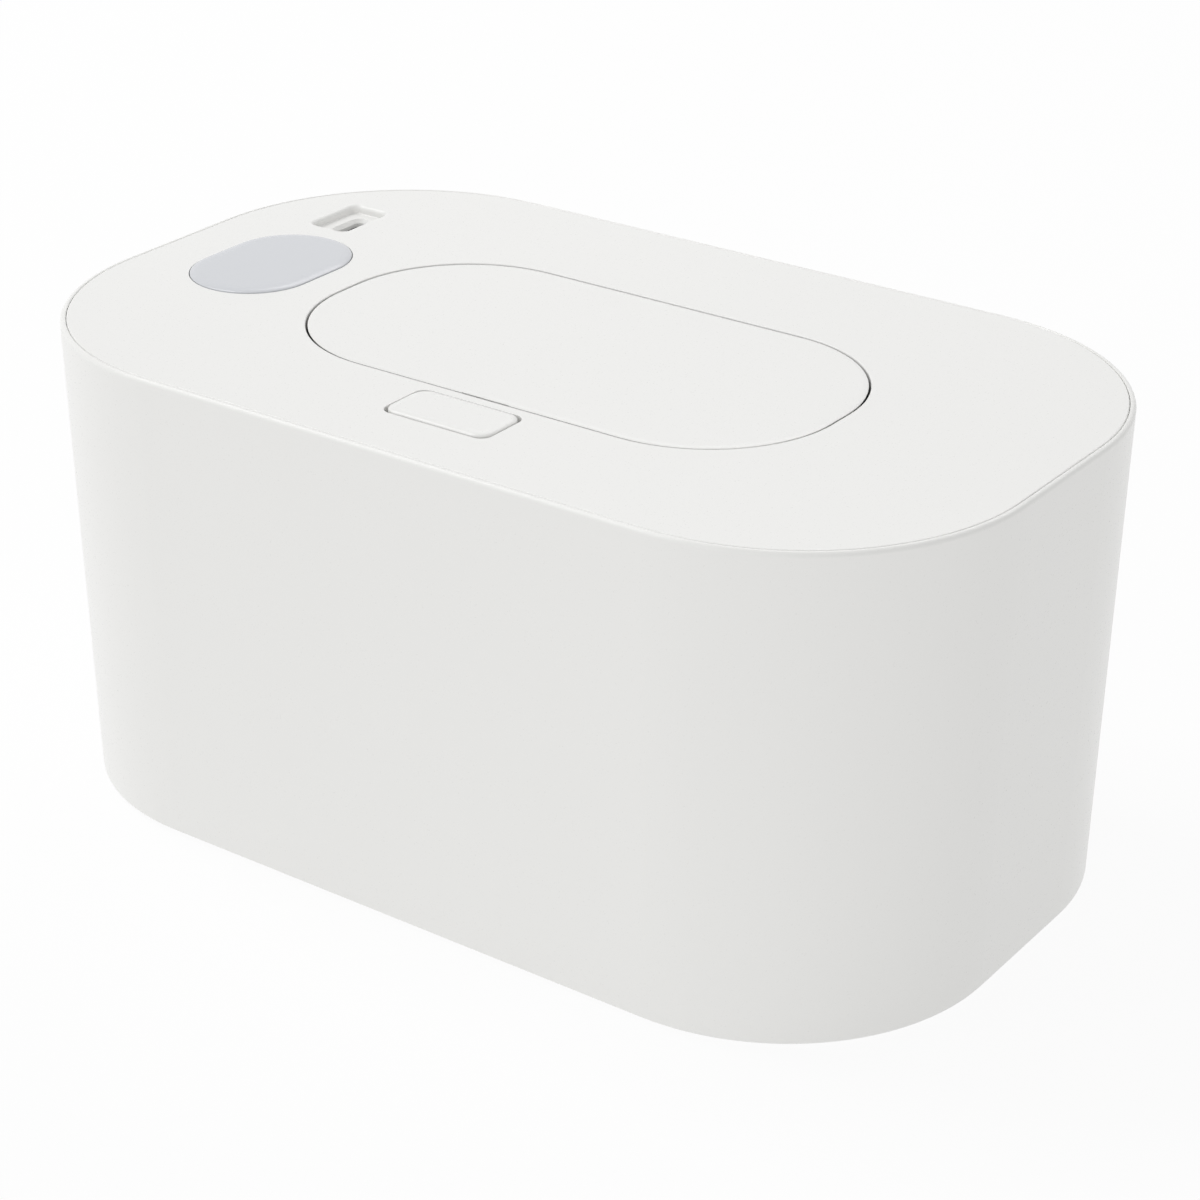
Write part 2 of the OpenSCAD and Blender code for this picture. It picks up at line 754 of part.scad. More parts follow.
// The well under the flap, with a rounded upper edge, and the hinge pockets
module well_cut() {
  between(well_depth, -eps) flap_outline(flap_gap);
  translate([flap_x, flap_y, top_z])
    mouth(flap_l + 2 * flap_gap, flap_w + 2 * flap_gap, flap_r + flap_gap, edge);
  for (i = [0, 1]) {
    box(pocket_span(i)[0], pocket_span(i)[1], hinge_y - hinge_back, hinge_y + hinge_pocket_back,
      well_depth, cover_t);
    translate([pocket_span(i)[0] - cover_wall - 1, hinge_y, hinge_z]) rotate([0, 90, 0])
      cylinder(r = pin_r + pin_play,
        h = pocket_span(i)[1] - pocket_span(i)[0] + 2 * cover_wall + 2);
  }
  translate([coil_x + coil_turns * coil_pitch, hinge_y, hinge_z - coil_r]) rotate([-90, 0, 0])
    cylinder(r = coil_wire + play, h = hinge_pocket_back + cover_wall + 1);
}

// Top cover: plate, skirts, well, throat, button frame and the bosses under them
module top_cover() {
  color(white) difference() {
    union() {
      difference() {
        union() {
          cover_plate();
          cover_solids();
        }
        well_cut();
        button_cut();
        window_cut();
        port_cut();
        for (p = cover_posts) translate([p[0], p[1], top_z - skirt_depth - eps])
          cylinder(r = cover_screw_r + thread_play, h = cover_screw_l);
        for (p = board_posts) translate([p[0], p[1], top_z - board_depth - eps])
          cylinder(r = board_screw_r + thread_play, h = board_screw_l);
      }
      between(well_depth + eps, throat_depth) throat_outline(0);
    }
    between(skirt_depth + 1, 0) throat_outline(-throat_wall);
  }
}

// Lower plate of the cover, with pockets for the sensors and the leads
module cover_base() {
  color(inner_white) difference() {
    union() {
      slab(skirt_in, top_z - film_depth, top_z - skirt_depth);
      for (p = heater_posts) translate([p[0], p[1], top_z - skirt_depth - eps])
        cylinder(r = boss_r, h = heater_boss_h);
    }
    between(film_depth + 1, skirt_depth - 1) throat_outline(-throat_wall);
    for (p = cover_posts) translate([p[0], p[1], top_z - film_depth])
      screw_hole(cover_screw_r, cover_head_r, base_cover_t, 0);
    for (p = heater_posts) translate([p[0], p[1], top_z - film_depth - eps])
      cylinder(r = heater_screw_r + thread_play, h = heater_screw_l);
    between(film_depth + 1, skirt_depth - 1) {
      translate(thermistor_at) square(thermistor_hole, center = true);
      translate(fuse_at) square(fuse_hole, center = true);
      translate(lead_hole_at) circle(lead_hole_r);
    }
  }
}

// Screws through the cover's lower plate into the posts
module cover_screws() {
  color(metal) for (p = cover_posts) translate([p[0], p[1], top_z - film_depth])
    screw(cover_screw_r, cover_head_r, cover_screw_l);
}

// Flat outline shared by the warming plate and its film
module heater_outline(g) {
  difference() {
    rrect(heater_l - 2 * g, heater_w - 2 * g, heater_r - g);
    throat_outline(g);
  }
}

// Aluminium warming plate that lies over the wipes
module heater_plate() {
  color(metal) difference() {
    between(under_depth, plate_depth) heater_outline(0);
    for (p = heater_posts) translate([p[0], p[1], top_z - under_depth - 1])
      cylinder(r = heater_screw_r + play, h = heater_t + 2);
  }
}

// Heating film on the back of the warming plate
module heating_film() {
  color(film_orange) difference() {
    between(plate_depth, film_depth) heater_outline(film_in);
    for (p = heater_posts) translate([p[0], p[1], top_z - plate_depth - 1])
      cylinder(r = heater_screw_r + seat_gap, h = film_t + 2);
  }
}

// Pan-head screws that hold the warming plate
module heater_screws() {
  color(metal) for (p = heater_posts) translate([p[0], p[1], top_z - under_depth]) {
    cylinder(r = heater_screw_r, h = heater_screw_l);
    translate([0, 0, -heater_head[2]])
      cylinder(r1 = heater_head[0], r2 = heater_head[1], h = heater_head[2]);
  }
}

// Temperature sensor on the film
module thermistor() {
  color(dark)
    translate([thermistor_at[0], thermistor_at[1], top_z - film_depth + thermistor_size[2] / 2])
      cube(thermistor_size, center = true);
}

// Fuse that opens if the film overheats
module thermal_fuse() {
  color(film_orange)
    translate([fuse_at[0] - fuse_l / 2, fuse_at[1], top_z - film_depth + fuse_r + play])
      rotate([0, 90, 0]) cylinder(r = fuse_r, h = fuse_l);
}

// Lead that rises from under the cover's lower plate to a plug under the board
module lead(from, to, r) {
  low = [from[0], from[1], top_z - skirt_depth + r];
  high = [to[0], to[1], to[2] - 2 * r];
  tube([from, low, (low + high) / 2, high, to], r, [0.3, 1, 0], 8);
}

// Two leads to the heating film
module heater_leads() {
  color("firebrick") for (s = lead_xs)
    lead([lead_hole_at[0] + s, lead_hole_at[1], top_z - film_depth],
      [connector_at[0] + s * plug_pitch / 2, connector_at[1], plug_z], heater_lead_r);
}

// Two leads to the temperature sensor
module sensor_leads() {
  color(dark) for (s = lead_xs)
    lead([thermistor_at[0] + s * 2 * sensor_lead_r, thermistor_at[1],
        top_z - film_depth + thermistor_size[2]],
      [sensor_plug_at[0] + s * plug_pitch / 2, sensor_plug_at[1], plug_z], sensor_lead_r);
}

// Plugs and headers under the board
module lead_connectors() {
  color(inner_white) for (p = [connector_at, sensor_plug_at])
    translate([p[0] - plug_size[0] / 2, p[1] - plug_size[1] / 2, plug_z]) cube(plug_size);
}

// Circuit board, shaped to the rounded end of the bay
module main_board() {
  color(board_green) between(board_under, board_depth) difference() {
    intersection() {
      rrect(body_l - 2 * bay_in - 1, body_w - 2 * bay_in - 1, body_r - bay_in - 0.5);
      translate([board_x0, board_y0]) square([board_x1 - board_x0, board_y1 - board_y0]);
    }
    for (p = board_posts) translate(p) circle(board_screw_r + play);
    translate(cover_posts[0]) circle(boss_r + seat_gap);
  }
}

// Chips, a capacitor and a coil on the board
module board_components() {
  color(dark) translate([window_x, window_y, 0]) {
    for (c = chips_above) translate([c[0][0], c[0][1], top_z - board_depth]) cube(c[1]);
    for (c = chips_below)
      translate([c[0][0], c[0][1], top_z - board_under - c[1][2]]) cube(c[1]);
    for (p = capacitors) translate([p[0], p[1], top_z - board_under - capacitor[1]])
      cylinder(r = capacitor[0], h = capacitor[1]);
  }
}

// Screws that hold the board against its posts
module board_screws() {
  color(metal) for (p = board_posts) translate([p[0], p[1], top_z - board_under - board_head[1]]) {
    cylinder(r = board_head[0], h = board_head[1]);
    cylinder(r = board_screw_r, h = board_head[1] + board_t + board_screw_l - 1);
  }
}

// Power socket standing on the board, its mouth under the slot in the hollow's floor
module usb_c_port() {
  socket_h = board_depth - port_depth - cover_wall;
  color(metal) translate([port_x, socket_y, top_z - board_depth]) rotate([0, 0, 90]) {
    difference() {
      linear_extrude(socket_h) stadium(socket_l, socket_w);
      translate([0, 0, socket_base]) linear_extrude(socket_h)
        stadium(socket_l - 2 * socket_shell, socket_w - 2 * socket_shell);
    }
    translate([0, 0, socket_base / 2]) linear_extrude(socket_h - socket_base)
      square([tongue_l, tongue_t], center = true);
  }
}

// Display block behind the window
module led_display() {
  color(inner_white) difference() {
    between(board_depth, display_gap) translate([window_x, window_y])
      square([display_w, display_l], center = true);
    for (s = [-1, 1]) translate([window_x, window_y + s * display_l / 4, top_z - display_gap])
      cube([display_w * 0.6, 1.4, 0.8], center = true);
  }
}

// Coils that join the board's touch pads to the window
module touch_springs() {
  color(metal) for (s = [-1, 1])
    translate([window_x, window_y + s * touch_y, top_z - board_depth])
      spring(latch_spring_r, spring_wire, board_depth - glue_top - spring_play, 5);
}

// Glue ring under the window
module window_adhesive() {
  color(dark) between(glue_z, glue_top) difference() {
    window_outline(-glue_t);
    window_outline(-ledge_w);
  }
}

// Touch window, just proud of the cover
module display_window() {
  color(window_grey) translate([window_x, window_y, top_z + window_proud]) rotate([0, 0, 90])
    stadium_slab(window_l, window_w, window_t, window_soft, window_drop);
}

// Silicone mouth in the throat that grips the next wipe
module dispensing_insert() {
  color(silicone_grey) difference() {
    union() {
      between(throat_depth, insert_depth) throat_outline(0);
      between(throat_depth + insert_skirt, throat_depth) throat_outline(-throat_wall - play);
    }
    between(throat_depth + insert_skirt + 1, throat_depth)
      throat_outline(-throat_wall - insert_t);
    between(throat_depth + 1, 0) translate([flap_x, throat_y]) stadium(slot_l, slot_w);
  }
}

// Outline of a hinge arm round its axis: hub, bar and a bow that rises into the flap
module arm_outline() {
  reach = bow_r + bow_t;
  foot = 270;
  mid = (bow_end + foot) / 2;
  difference() {
    union() {
      circle(hub_r);
      intersection() {
        circle(reach);
        union() {
          translate([-bar_t / 2, -reach]) square([bar_t, reach]);
          difference() {
            polygon(2 * reach * [
              [0, 0], [cos(bow_end), sin(bow_end)], [cos(mid), sin(mid)], [cos(foot), sin(foot)]
            ]);
            circle(bow_r);
          }
        }
      }
    }
    circle(pin_r + pin_play);
  }
}

// One hinge arm
module hinge_arm(i) {
  translate([arm_xs[i] - arm_w / 2, hinge_y, hinge_z]) rotate([90, 0, 90])
    linear_extrude(arm_w) arm_outline();
}

// Flap: plate, seal ridges, catch tab and hinge arms
module flip_lid() {
  color(white) {
    difference() {
      translate([flap_x, flap_y, top_z])
        lid_slab(flap_l, flap_w, flap_r, flap_t, flap_soft, flap_drop,
          [flap_chamfer_w, flap_chamfer_h]);
      box(latch_x - latch_slot / 2, latch_x + latch_slot / 2, flap_front - 1,
        flap_front + notch_top, flap_t - 0.6, -1);
      box(latch_x - latch_slot / 2, latch_x + latch_slot / 2, flap_front - 1,
        flap_front + notch_in, flap_t - 0.6, edge);
    }
    between(flap_t + 1.6, flap_t - eps) difference() {
      throat_outline(1.4);
      throat_outline(0.2);
    }
    difference() {
      box(latch_x - latch_slot / 2 - tab_side, latch_x + latch_slot / 2 + tab_side,
        tab_y, tab_y + tab_t, tab_foot, flap_t - 0.7);
      box(latch_x - slide_w / 2 - slide_gap, latch_x + slide_w / 2 + slide_gap,
        tab_y - 1, tab_y + tab_t + 1, slide_z + slide_gap, slide_top - slide_gap);
    }
    for (i = [0, 1]) hinge_arm(i);
    box(arm_xs[1] + arm_w / 2 - eps, arm_xs[1] + arm_w / 2 + 1.2, hinge_y - 0.2,
      hinge_y + coil_r - coil_wire - play, hinge_drop + 4.6, hinge_drop + 3.4);
  }
}

// Silicone ring under the flap that closes on the throat
module lid_seal() {
  color(silicone_grey) between(insert_depth - seat_gap, flap_t) difference() {
    throat_outline(0);
    throat_outline(-seal_w);
  }
}

// Steel pins through the hinge pockets
module hinge_pins() {
  color(metal) for (i = [0, 1])
    translate([pocket_span(i)[0] - cover_wall, hinge_y, hinge_z]) rotate([0, 90, 0])
      cylinder(r = pin_r, h = pocket_span(i)[1] - pocket_span(i)[0] + 2 * cover_wall);
}

// Coil on the right pin that pushes the flap open: one leg lies behind a peg on the arm, the
// other goes through the pocket's back wall
module hinge_spring() {
  turn = [for (q = coil(coil_r, coil_turns * coil_pitch, coil_turns)) [q[2], q[0], q[1]]];
  path = concat(
    [for (z = [-4.8, -3.2, -1.6]) [0, coil_r, z]],
    turn,
    [for (y = [1.6, 3.2, 4.8]) [coil_turns * coil_pitch, y, -coil_r]]
  );
  echo(spring_gap = coil_gap(turn, coil_wire));
  color(metal) translate([coil_x, hinge_y, hinge_z]) tube(path, coil_wire, [1, 0, 0]);
}

// Push button: cap, skirt with stop tabs, and the wedge that drives the latch
module release_button() {
  skirt_l = button_l - 2 * skirt_step;
  skirt_w = button_w - 2 * skirt_step;
  color(white) {
    translate([button_x, button_y, top_z + button_proud])
      lid_slab(button_l, button_w, button_r, button_cap + button_proud, button_soft, button_drop);
    difference() {
      between(skirt_foot, blade_top) translate([button_x, button_y]) difference() {
        rrect(skirt_l, skirt_w, button_r - skirt_step);
        rrect(skirt_l - 2 * skirt_t, skirt_w - 2 * skirt_t, button_r - skirt_step - skirt_t);
      }
      box(latch_x - slide_w / 2 - slide_gap, latch_x + slide_w / 2 + slide_gap,
        button_y - button_w, button_y + button_w, skirt_foot + 1, button_cap);
    }
    for (s = [0, 1]) translate([button_x, button_y, top_z - skirt_foot]) mirror([s, 0, 0])
      translate([button_l / 2 - skirt_step - skirt_t / 4, -stop_w / 2, 0])
        cube([stop_reach + skirt_step + skirt_t / 4, stop_w, stop_t]);
    translate([latch_x - blade_w / 2, 0, top_z]) rotate([90, 0, 90]) linear_extrude(blade_w)
      polygon([
        [blade_back, -blade_top], [blade_back, -blade_foot],
        [ramp + blade_foot + ramp_play, -blade_foot],
        [blade_front, ramp - blade_front + ramp_play], [blade_front, -blade_top]
      ]);
  }
}

// Coils that lift the push button
module button_springs() {
  color(metal) for (s = [-1, 1])
    translate([button_x + s * button_spring_x, button_y, top_z - frame_floor])
      spring(button_spring_r, spring_wire, frame_floor - button_cap - 2 * spring_play, 5);
}

// Latch: a bar with a ramp for the button's wedge, a nose for the flap and a leg for its spring
module latch_slider() {
  bar_front = front_y - frame_t - 0.2;
  color(inner_white) {
    difference() {
      box(latch_x - slide_w / 2, latch_x + slide_w / 2, bar_front, nose_y, slide_z, slide_top);
      translate([latch_x - blade_w / 2 - slide_gap, 0, top_z]) rotate([90, 0, 90])
        linear_extrude(blade_w + 2 * slide_gap) polygon([
          [ramp + slide_top - 1, 1 - slide_top], [ramp + slide_z + 1, -slide_z - 1],
          [slot_back, -slide_z - 1], [slot_back, 1 - slide_top]
        ]);
    }
    box(latch_x - leg_w / 2, latch_x + leg_w / 2, leg_y, leg_y + leg_t,
      spring_axis + latch_spring_r + 0.5, slide_z - eps);
  }
}

// Coil that pushes the latch under the flap's tab
module latch_spring() {
  color(metal) translate([latch_x, front_y + spring_play, top_z - spring_axis])
    rotate([-90, 0, 0])
      spring(latch_spring_r, spring_wire, leg_y - front_y - 2 * spring_play, 6);
}

outer_shell();
base_plate();
rubber_feet();
base_screws();
insulation_sleeve();
inner_tank();
cover_gasket();
top_cover();
cover_base();
cover_screws();
heater_plate();
heating_film();
heater_screws();
thermistor();
thermal_fuse();
heater_leads();
sensor_leads();
main_board();
board_components();
board_screws();
lead_connectors();
usb_c_port();
led_display();
touch_springs();
window_adhesive();
display_window();
dispensing_insert();
flip_lid();
lid_seal();
hinge_pins();
hinge_spring();
release_button();
button_springs();
latch_slider();
latch_spring();
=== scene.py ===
"""Looks of the baby wipe warmer: materials, wires, floor, light and camera round the CAD model.

Lengths are in metres, in the same frame as the CAD. MM turns millimetres into metres.
"""

import json
import math

import bpy
from mathutils import Matrix, Vector

MM = 0.001

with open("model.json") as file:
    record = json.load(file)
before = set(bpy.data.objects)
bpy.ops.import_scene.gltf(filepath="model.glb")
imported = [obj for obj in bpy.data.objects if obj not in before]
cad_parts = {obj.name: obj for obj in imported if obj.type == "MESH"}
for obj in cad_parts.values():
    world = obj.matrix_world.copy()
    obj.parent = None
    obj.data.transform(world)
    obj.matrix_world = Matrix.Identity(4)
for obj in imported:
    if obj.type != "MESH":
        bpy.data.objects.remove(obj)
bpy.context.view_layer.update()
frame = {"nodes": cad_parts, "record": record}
nodes = frame["nodes"]


# Colours, linear red, green and blue

WHITE_ABS = (0.870, 0.868, 0.850)
WHITE_COVER = (0.875, 0.873, 0.856)
INNER_WHITE = (0.800, 0.800, 0.785)
WINDOW_GREY = (0.645, 0.660, 0.692)
SILICONE_GREY = (0.560, 0.575, 0.590)
RUBBER_GREY = (0.075, 0.078, 0.082)
FOAM_GREY = (0.260, 0.270, 0.290)
STEEL = (0.560, 0.565, 0.570)
ALUMINIUM = (0.700, 0.710, 0.720)
AMBER_FILM = (0.600, 0.230, 0.030)
BOARD_GREEN = (0.012, 0.110, 0.050)
CHIP_BLACK = (0.014, 0.014, 0.016)
LEAD_RED = (0.420, 0.020, 0.016)
LEAD_BLACK = (0.016, 0.016, 0.018)


# Refractive indices

PLASTIC_IOR = 1.49
SILICONE_IOR = 1.42
FOAM_IOR = 1.3
FILM_IOR = 1.6
BOARD_IOR = 1.5


# Roughness, and how far it strays to either side of that value

SHOWN_ROUGH = 0.30
TANK_ROUGH = 0.40
INSIDE_ROUGH = 0.50
SILICONE_ROUGH = 0.55
FOOT_ROUGH = 0.7
STEEL_ROUGH = 0.28
PLATE_ROUGH = 0.38
CHIP_ROUGH = 0.5
LEAD_ROUGH = 0.3
GLUE_ROUGH = 0.7
PLASTIC_STRAY = 0.03
SILICONE_STRAY = 0.07
METAL_STRAY = 0.08


# Share by which a colour grows darker and lighter over a surface

SHOWN_TONE = 0.006
INNER_TONE = 0.01
SMALL_PART_TONE = 0.05
SILICONE_TONE = 0.05
WINDOW_TONE = 0.015
METAL_TONE = 0.08


# Height of the relief on plastic

FINE_DEPTH = 0.0008 * MM
CHIP_DEPTH = 0.01 * MM


# Nearly all values of a noise texture lie between these two

NOISE_LOW = 0.3
NOISE_HIGH = 0.7


# Colour sockets of the Mix node, which have the same names as its number sockets

MIX_DARK = 6
MIX_LIGHT = 7
MIX_RESULT = 2


def shade(colour, factor):
    """The colour made lighter or darker, as RGBA."""
    return tuple(min(1.0, channel * factor) for channel in colour) + (1.0,)


class Graph:
    """A material's nodes, with the surface shader ready in self.shader."""

    def __init__(self, name, **values):
        """Makes the material and sets these sockets of its shader."""
        self.material = bpy.data.materials.new(name)
        self.material.use_nodes = True
        self.tree = self.material.node_tree
        self.shader = self.tree.nodes["Principled BSDF"]
        for socket, value in values.items():
            self.shader.inputs[socket].default_value = value
        self.place = self.add("ShaderNodeTexCoord").outputs["Object"]

    def add(self, kind, **settings):
        node = self.tree.nodes.new(kind)
        for key, value in settings.items():
            setattr(node, key, value)
        return node

    def link(self, source, target):
        self.tree.links.new(source, target)

    def texture(self, kind, size, place=None, **settings):
        """Texture on the object, whose pattern is about that size in metres."""
        node = self.add(kind, **settings)
        node.inputs["Scale"].default_value = 1 / size
        self.link(place or self.place, node.inputs["Vector"])
        return node

    def noise(self, size, detail=2.0, place=None):
        node = self.texture("ShaderNodeTexNoise", size, place)
        node.inputs["Detail"].default_value = detail
        return node.outputs["Fac"]

    def stretched(self, x, y, z):
        """The place on the object with each axis scaled."""
        node = self.add("ShaderNodeMapping")
        node.inputs["Scale"].default_value = (x, y, z)
        self.link(self.place, node.inputs["Vector"])
        return node.outputs["Vector"]

    def span(self, fac, low, high, start, end):
        """Number that runs from low to high while fac runs from start to end."""
        node = self.add("ShaderNodeMapRange")
        self.link(fac, node.inputs["Value"])
        node.inputs["From Min"].default_value = start
        node.inputs["From Max"].default_value = end
        node.inputs["To Min"].default_value = low
        node.inputs["To Max"].default_value = high
        return node.outputs["Result"]

    def tint(self, fac, colour, dark, light):
        """Base colour: colour times dark where fac is 0, colour times light where it is 1."""
        node = self.add("ShaderNodeMix", data_type="RGBA")
        self.link(fac, node.inputs["Factor"])
        node.inputs[MIX_DARK].default_value = shade(colour, dark)
        node.inputs[MIX_LIGHT].default_value = shade(colour, light)
        self.link(node.outputs[MIX_RESULT], self.shader.inputs["Base Color"])

    def vary(self, fac, colour, tone):
        """Base colour that grows darker and lighter by the share tone."""
        self.tint(fac, colour, dark=1 - tone, light=1 + tone)

    def roughness(self, fac, low, high, start=NOISE_LOW, end=NOISE_HIGH):
        """Roughness that runs from low to high while fac runs from start to end."""
        self.link(self.span(fac, low, high, start, end), self.shader.inputs["Roughness"])

    def bump(self, height, depth):
        """Relief whose height runs over depth, in metres."""
        node = self.add("ShaderNodeBump")
        node.inputs["Distance"].default_value = depth
        self.link(height, node.inputs["Height"])
        self.link(node.outputs["Normal"], self.shader.inputs["Normal"])


def moulded(name, colour, rough, tone, depth=FINE_DEPTH):
    """Moulded plastic: a fine tool texture, slow changes of tone, slightly uneven gloss."""
    graph = Graph(name, IOR=PLASTIC_IOR)
    slow = graph.noise(size=60 * MM)
    fine = graph.noise(size=0.35 * MM, detail=3.0)
    graph.vary(slow, colour, tone)
    graph.roughness(fine, rough - PLASTIC_STRAY, rough + PLASTIC_STRAY)
    graph.bump(fine, depth)
    return graph.material


def soft(name, colour, rough):
    """Silicone or rubber: dull and faintly mottled, with fine specks."""
    graph = Graph(name, IOR=SILICONE_IOR)
    slow = graph.noise(size=14 * MM)
    fine = graph.noise(size=0.8 * MM, detail=4.0)
    graph.vary(slow, colour, SILICONE_TONE)
    graph.roughness(fine, rough - SILICONE_STRAY, rough + SILICONE_STRAY)
    graph.bump(fine, depth=0.01 * MM)
    return graph.material


def touch_panel():
    """Smooth touch panel: grey-blue, glossy, with a faint haze of fine scratches."""
    graph = Graph("window_panel", IOR=PLASTIC_IOR)
    slow = graph.noise(size=18 * MM)
    haze = graph.noise(size=1.2 * MM, detail=5.0, place=graph.stretched(1.0, 6.0, 1.0))
    graph.vary(slow, WINDOW_GREY, WINDOW_TONE)
    graph.roughness(haze, low=0.16, high=0.22)
    return graph.material


def metal(name, colour, rough, streak=(1.0, 1.0, 1.0)):
    """Metal whose roughness and tone run in fine streaks, stretched by streak."""
    graph = Graph(name, Metallic=1.0)
    lines = graph.noise(size=0.5 * MM, detail=4.0, place=graph.stretched(*streak))
    graph.vary(lines, colour, METAL_TONE)
    graph.roughness(lines, rough - METAL_STRAY, rough + METAL_STRAY)
    graph.bump(lines, depth=0.003 * MM)
    return graph.material


def foam():
    """Closed-cell foam: small cells that catch the light."""
    graph = Graph("foam", IOR=FOAM_IOR)
    cells = graph.texture("ShaderNodeTexVoronoi", size=0.9 * MM).outputs["Distance"]
    graph.tint(cells, FOAM_GREY, dark=0.75, light=1.15)
    graph.roughness(cells, low=0.8, high=0.95)
    graph.bump(cells, depth=0.2 * MM)
    return graph.material


def heating_film():
    """Polyimide film with the heating track showing through in bands."""
    graph = Graph("film", IOR=FILM_IOR)
    bands = graph.texture(
        "ShaderNodeTexWave", size=16 * MM, wave_type="BANDS", bands_direction="X"
    )
    track = graph.span(bands.outputs["Fac"], low=0.0, high=1.0, start=0.45, end=0.55)
    graph.tint(track, AMBER_FILM, dark=0.72, light=1.0)
    graph.roughness(track, low=0.2, high=0.28, start=0.0, end=1.0)
    graph.bump(track, depth=0.03 * MM)
    return graph.material


def circuit_board():
    """Solder resist, lighter over the copper fields and darker over the gaps between them."""
    graph = Graph("circuit_board", IOR=BOARD_IOR)
    fields = graph.texture("ShaderNodeTexVoronoi", size=5 * MM, distance="CHEBYCHEV")
    gap = graph.span(fields.outputs["Distance"], low=0.0, high=1.0, start=0.40, end=0.44)
    graph.tint(gap, BOARD_GREEN, dark=1.5, light=0.8)
    graph.roughness(gap, low=0.28, high=0.36, start=0.0, end=1.0)
    graph.bump(gap, depth=0.02 * MM)
    return graph.material


# One material for each slot in the record, by the slot's name

MATERIALS = {
    "shell_abs": moulded("shell_abs", WHITE_ABS, SHOWN_ROUGH, SHOWN_TONE),
    "cover_abs": moulded("cover_abs", WHITE_COVER, SHOWN_ROUGH, SHOWN_TONE),
    "flap_abs": moulded("flap_abs", WHITE_COVER, SHOWN_ROUGH, SHOWN_TONE),
    "button_abs": moulded("button_abs", WHITE_COVER, SHOWN_ROUGH, SHOWN_TONE),
    "tank_pp": moulded("tank_pp", INNER_WHITE, TANK_ROUGH, INNER_TONE),
    "inner_abs": moulded("inner_abs", INNER_WHITE, INSIDE_ROUGH, INNER_TONE),
    "window_panel": touch_panel(),
    "silicone": soft("silicone", SILICONE_GREY, SILICONE_ROUGH),
    "foot_rubber": soft("foot_rubber", RUBBER_GREY, FOOT_ROUGH),
    "foam": foam(),
    "steel": metal("steel", STEEL, STEEL_ROUGH),
    "warming_plate": metal("warming_plate", ALUMINIUM, PLATE_ROUGH, streak=(0.05, 1.0, 1.0)),
    "film": heating_film(),
    "circuit_board": circuit_board(),
    "black_parts": moulded("black_parts", CHIP_BLACK, CHIP_ROUGH, SMALL_PART_TONE, CHIP_DEPTH),
    "red_leads": moulded("red_leads", LEAD_RED, LEAD_ROUGH, SMALL_PART_TONE),
    "black_leads": moulded("black_leads", LEAD_BLACK, LEAD_ROUGH, SMALL_PART_TONE),
    "glue": moulded("glue", CHIP_BLACK, GLUE_ROUGH, SMALL_PART_TONE),
}

for part in frame["record"]["subparts"]:
    nodes[part["node"]].material_slots[0].material = MATERIALS[part["material_slot"]]


# Wires: their sides become round

WIRES = (
    "hinge_spring",
    "button_springs",
    "latch_spring",
    "touch_springs",
    "heater_leads",
    "sensor_leads",
)
WELD_REACH = 0.001 * MM
ROUND_LEVEL = 1


def round_wire(wire):
    """Joins the facets of a wire and subdivides them, so that it looks round."""
    for face in wire.data.polygons:
        face.use_smooth = True
    join = wire.modifiers.new("join", "WELD")
    join.merge_threshold = WELD_REACH
    smooth = wire.modifiers.new("round", "SUBSURF")
    smooth.levels = ROUND_LEVEL
    smooth.render_levels = ROUND_LEVEL


for name in WIRES:
    round_wire(nodes[name])


# Floor and world: white to the camera, plain studio surroundings to the light

FLOOR_HALF = 12.0
FLOOR_CORNERS = ((-1, -1), (1, -1), (1, 1), (-1, 1))
FLOOR_GREY = (0.95, 0.95, 0.95, 1.0)
SHADOW_SHARE = 0.10
FLOOR_GLOW = 0.60
WORLD_LIGHT = 0.52
WORLD_WHITE = (1, 1, 1, 1)


def shown_white(tree):
    """Socket that is 1 for what the camera, gloss or glass sees, and 0 for the light."""
    path = tree.nodes.new("ShaderNodeLightPath")
    total = path.outputs["Is Camera Ray"]
    for name in ("Is Glossy Ray", "Is Transmission Ray"):
        join = tree.nodes.new("ShaderNodeMath")
        join.operation = "MAXIMUM"
        tree.links.new(total, join.inputs[0])
        tree.links.new(path.outputs[name], join.inputs[1])
        total = join.outputs[0]
    return total


def make_floor():
    """Floor with a soft shadow. It glows in part, so that it shows as white as the world."""
    mesh = bpy.data.meshes.new("floor")
    corners = [(x * FLOOR_HALF, y * FLOOR_HALF, 0) for x, y in FLOOR_CORNERS]
    mesh.from_pydata(corners, [], [(0, 1, 2, 3)])
    floor = bpy.data.objects.new("floor", mesh)
    bpy.context.scene.collection.objects.link(floor)
    material = bpy.data.materials.new("floor")
    material.use_nodes = True
    tree = material.node_tree
    tree.nodes.clear()
    lit = tree.nodes.new("ShaderNodeBsdfDiffuse")
    lit.inputs["Color"].default_value = FLOOR_GREY
    glow = tree.nodes.new("ShaderNodeEmission")
    share = tree.nodes.new("ShaderNodeMath")
    share.operation = "MULTIPLY_ADD"
    share.inputs[1].default_value = 1 - SHADOW_SHARE - FLOOR_GLOW
    share.inputs[2].default_value = FLOOR_GLOW
    tree.links.new(shown_white(tree), share.inputs[0])
    mix = tree.nodes.new("ShaderNodeMixShader")
    tree.links.new(share.outputs[0], mix.inputs["Fac"])
    tree.links.new(lit.outputs[0], mix.inputs[1])
    tree.links.new(glow.outputs[0], mix.inputs[2])
    out = tree.nodes.new("ShaderNodeOutputMaterial")
    tree.links.new(mix.outputs[0], out.inputs["Surface"])
    mesh.materials.append(material)


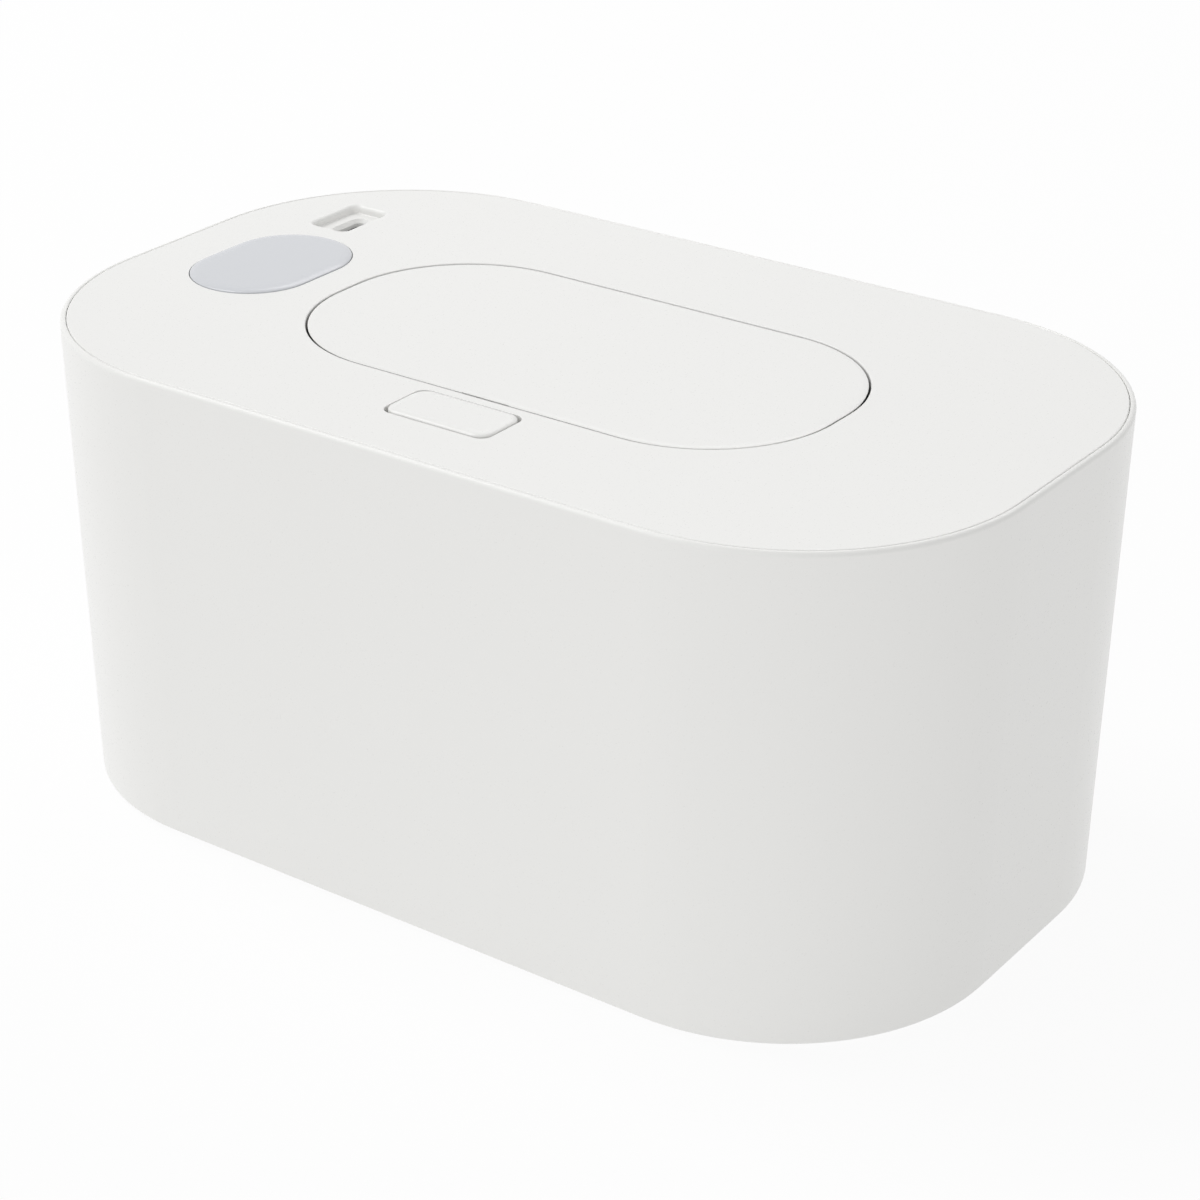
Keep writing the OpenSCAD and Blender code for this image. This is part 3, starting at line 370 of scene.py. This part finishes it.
def make_world():
    """World that lights the object evenly and shows as white."""
    world = bpy.data.worlds.new("studio")
    bpy.context.scene.world = world
    world.use_nodes = True
    tree = world.node_tree
    tree.nodes.clear()
    light = tree.nodes.new("ShaderNodeBackground")
    light.inputs["Color"].default_value = WORLD_WHITE
    light.inputs["Strength"].default_value = WORLD_LIGHT
    white = tree.nodes.new("ShaderNodeBackground")
    white.inputs["Color"].default_value = WORLD_WHITE
    mix = tree.nodes.new("ShaderNodeMixShader")
    tree.links.new(shown_white(tree), mix.inputs["Fac"])
    tree.links.new(light.outputs[0], mix.inputs[1])
    tree.links.new(white.outputs[0], mix.inputs[2])
    out = tree.nodes.new("ShaderNodeOutputWorld")
    tree.links.new(mix.outputs[0], out.inputs["Surface"])


# Soft boxes: name, place, width, height, power in watts

LAMPS = (
    ("lamp_key", (-1.05, -0.1, 1.6), 0.8, 0.8, 11.6),
    ("lamp_back", (-0.25, 1.5, 1.4), 2.0, 0.5, 5.8),
    ("lamp_left", (-1.56, -1.8, 1.8), 0.9, 0.9, 4.8),
    ("lamp_front", (0.55, -1.95, 0.4), 1.6, 1.6, 7.3),
)


def make_lamp(name, place, width, height, power):
    """Soft box at place, facing the object."""
    light = bpy.data.lights.new(name, "AREA")
    light.shape = "RECTANGLE"
    light.size = width
    light.size_y = height
    light.energy = power
    lamp = bpy.data.objects.new(name, light)
    bpy.context.scene.collection.objects.link(lamp)
    lamp.location = place
    lamp.rotation_mode = "QUATERNION"
    lamp.rotation_quaternion = (-Vector(place)).to_track_quat("-Z", "Y")


make_floor()
make_world()
for lamp_values in LAMPS:
    make_lamp(*lamp_values)


# Camera: fitted to the rim, the lower edge, the seams and the window in the photograph

CAMERA_TURN = math.radians(35.36)
CAMERA_RISE = math.radians(26.23)
CAMERA_ROLL = math.radians(0.29)
CAMERA_DISTANCE = 634.8 * MM
AIM_RIGHT = 4.02 * MM
AIM_UP = 39.66 * MM
AIM_BASE = Vector((0, 0, 0.8 * MM))
LENS = 91.94
SENSOR = 36.0


def make_camera():
    sin_turn, cos_turn = math.sin(CAMERA_TURN), math.cos(CAMERA_TURN)
    cos_rise = math.cos(CAMERA_RISE)
    back = Vector((sin_turn * cos_rise, -cos_turn * cos_rise, math.sin(CAMERA_RISE)))
    level = Vector((cos_turn, sin_turn, 0))
    upright = back.cross(level)
    right = level * math.cos(CAMERA_ROLL) + upright * math.sin(CAMERA_ROLL)
    up = upright * math.cos(CAMERA_ROLL) - level * math.sin(CAMERA_ROLL)
    place = AIM_BASE + back * CAMERA_DISTANCE + right * AIM_RIGHT + up * AIM_UP
    data = bpy.data.cameras.new("camera")
    data.sensor_width = SENSOR
    data.lens = LENS
    camera = bpy.data.objects.new("camera", data)
    bpy.context.scene.collection.objects.link(camera)
    camera.matrix_world = Matrix((right, up, back)).transposed().to_4x4()
    camera.location = place
    bpy.context.scene.camera = camera


make_camera()
bpy.context.scene.view_settings.view_transform = "Standard"
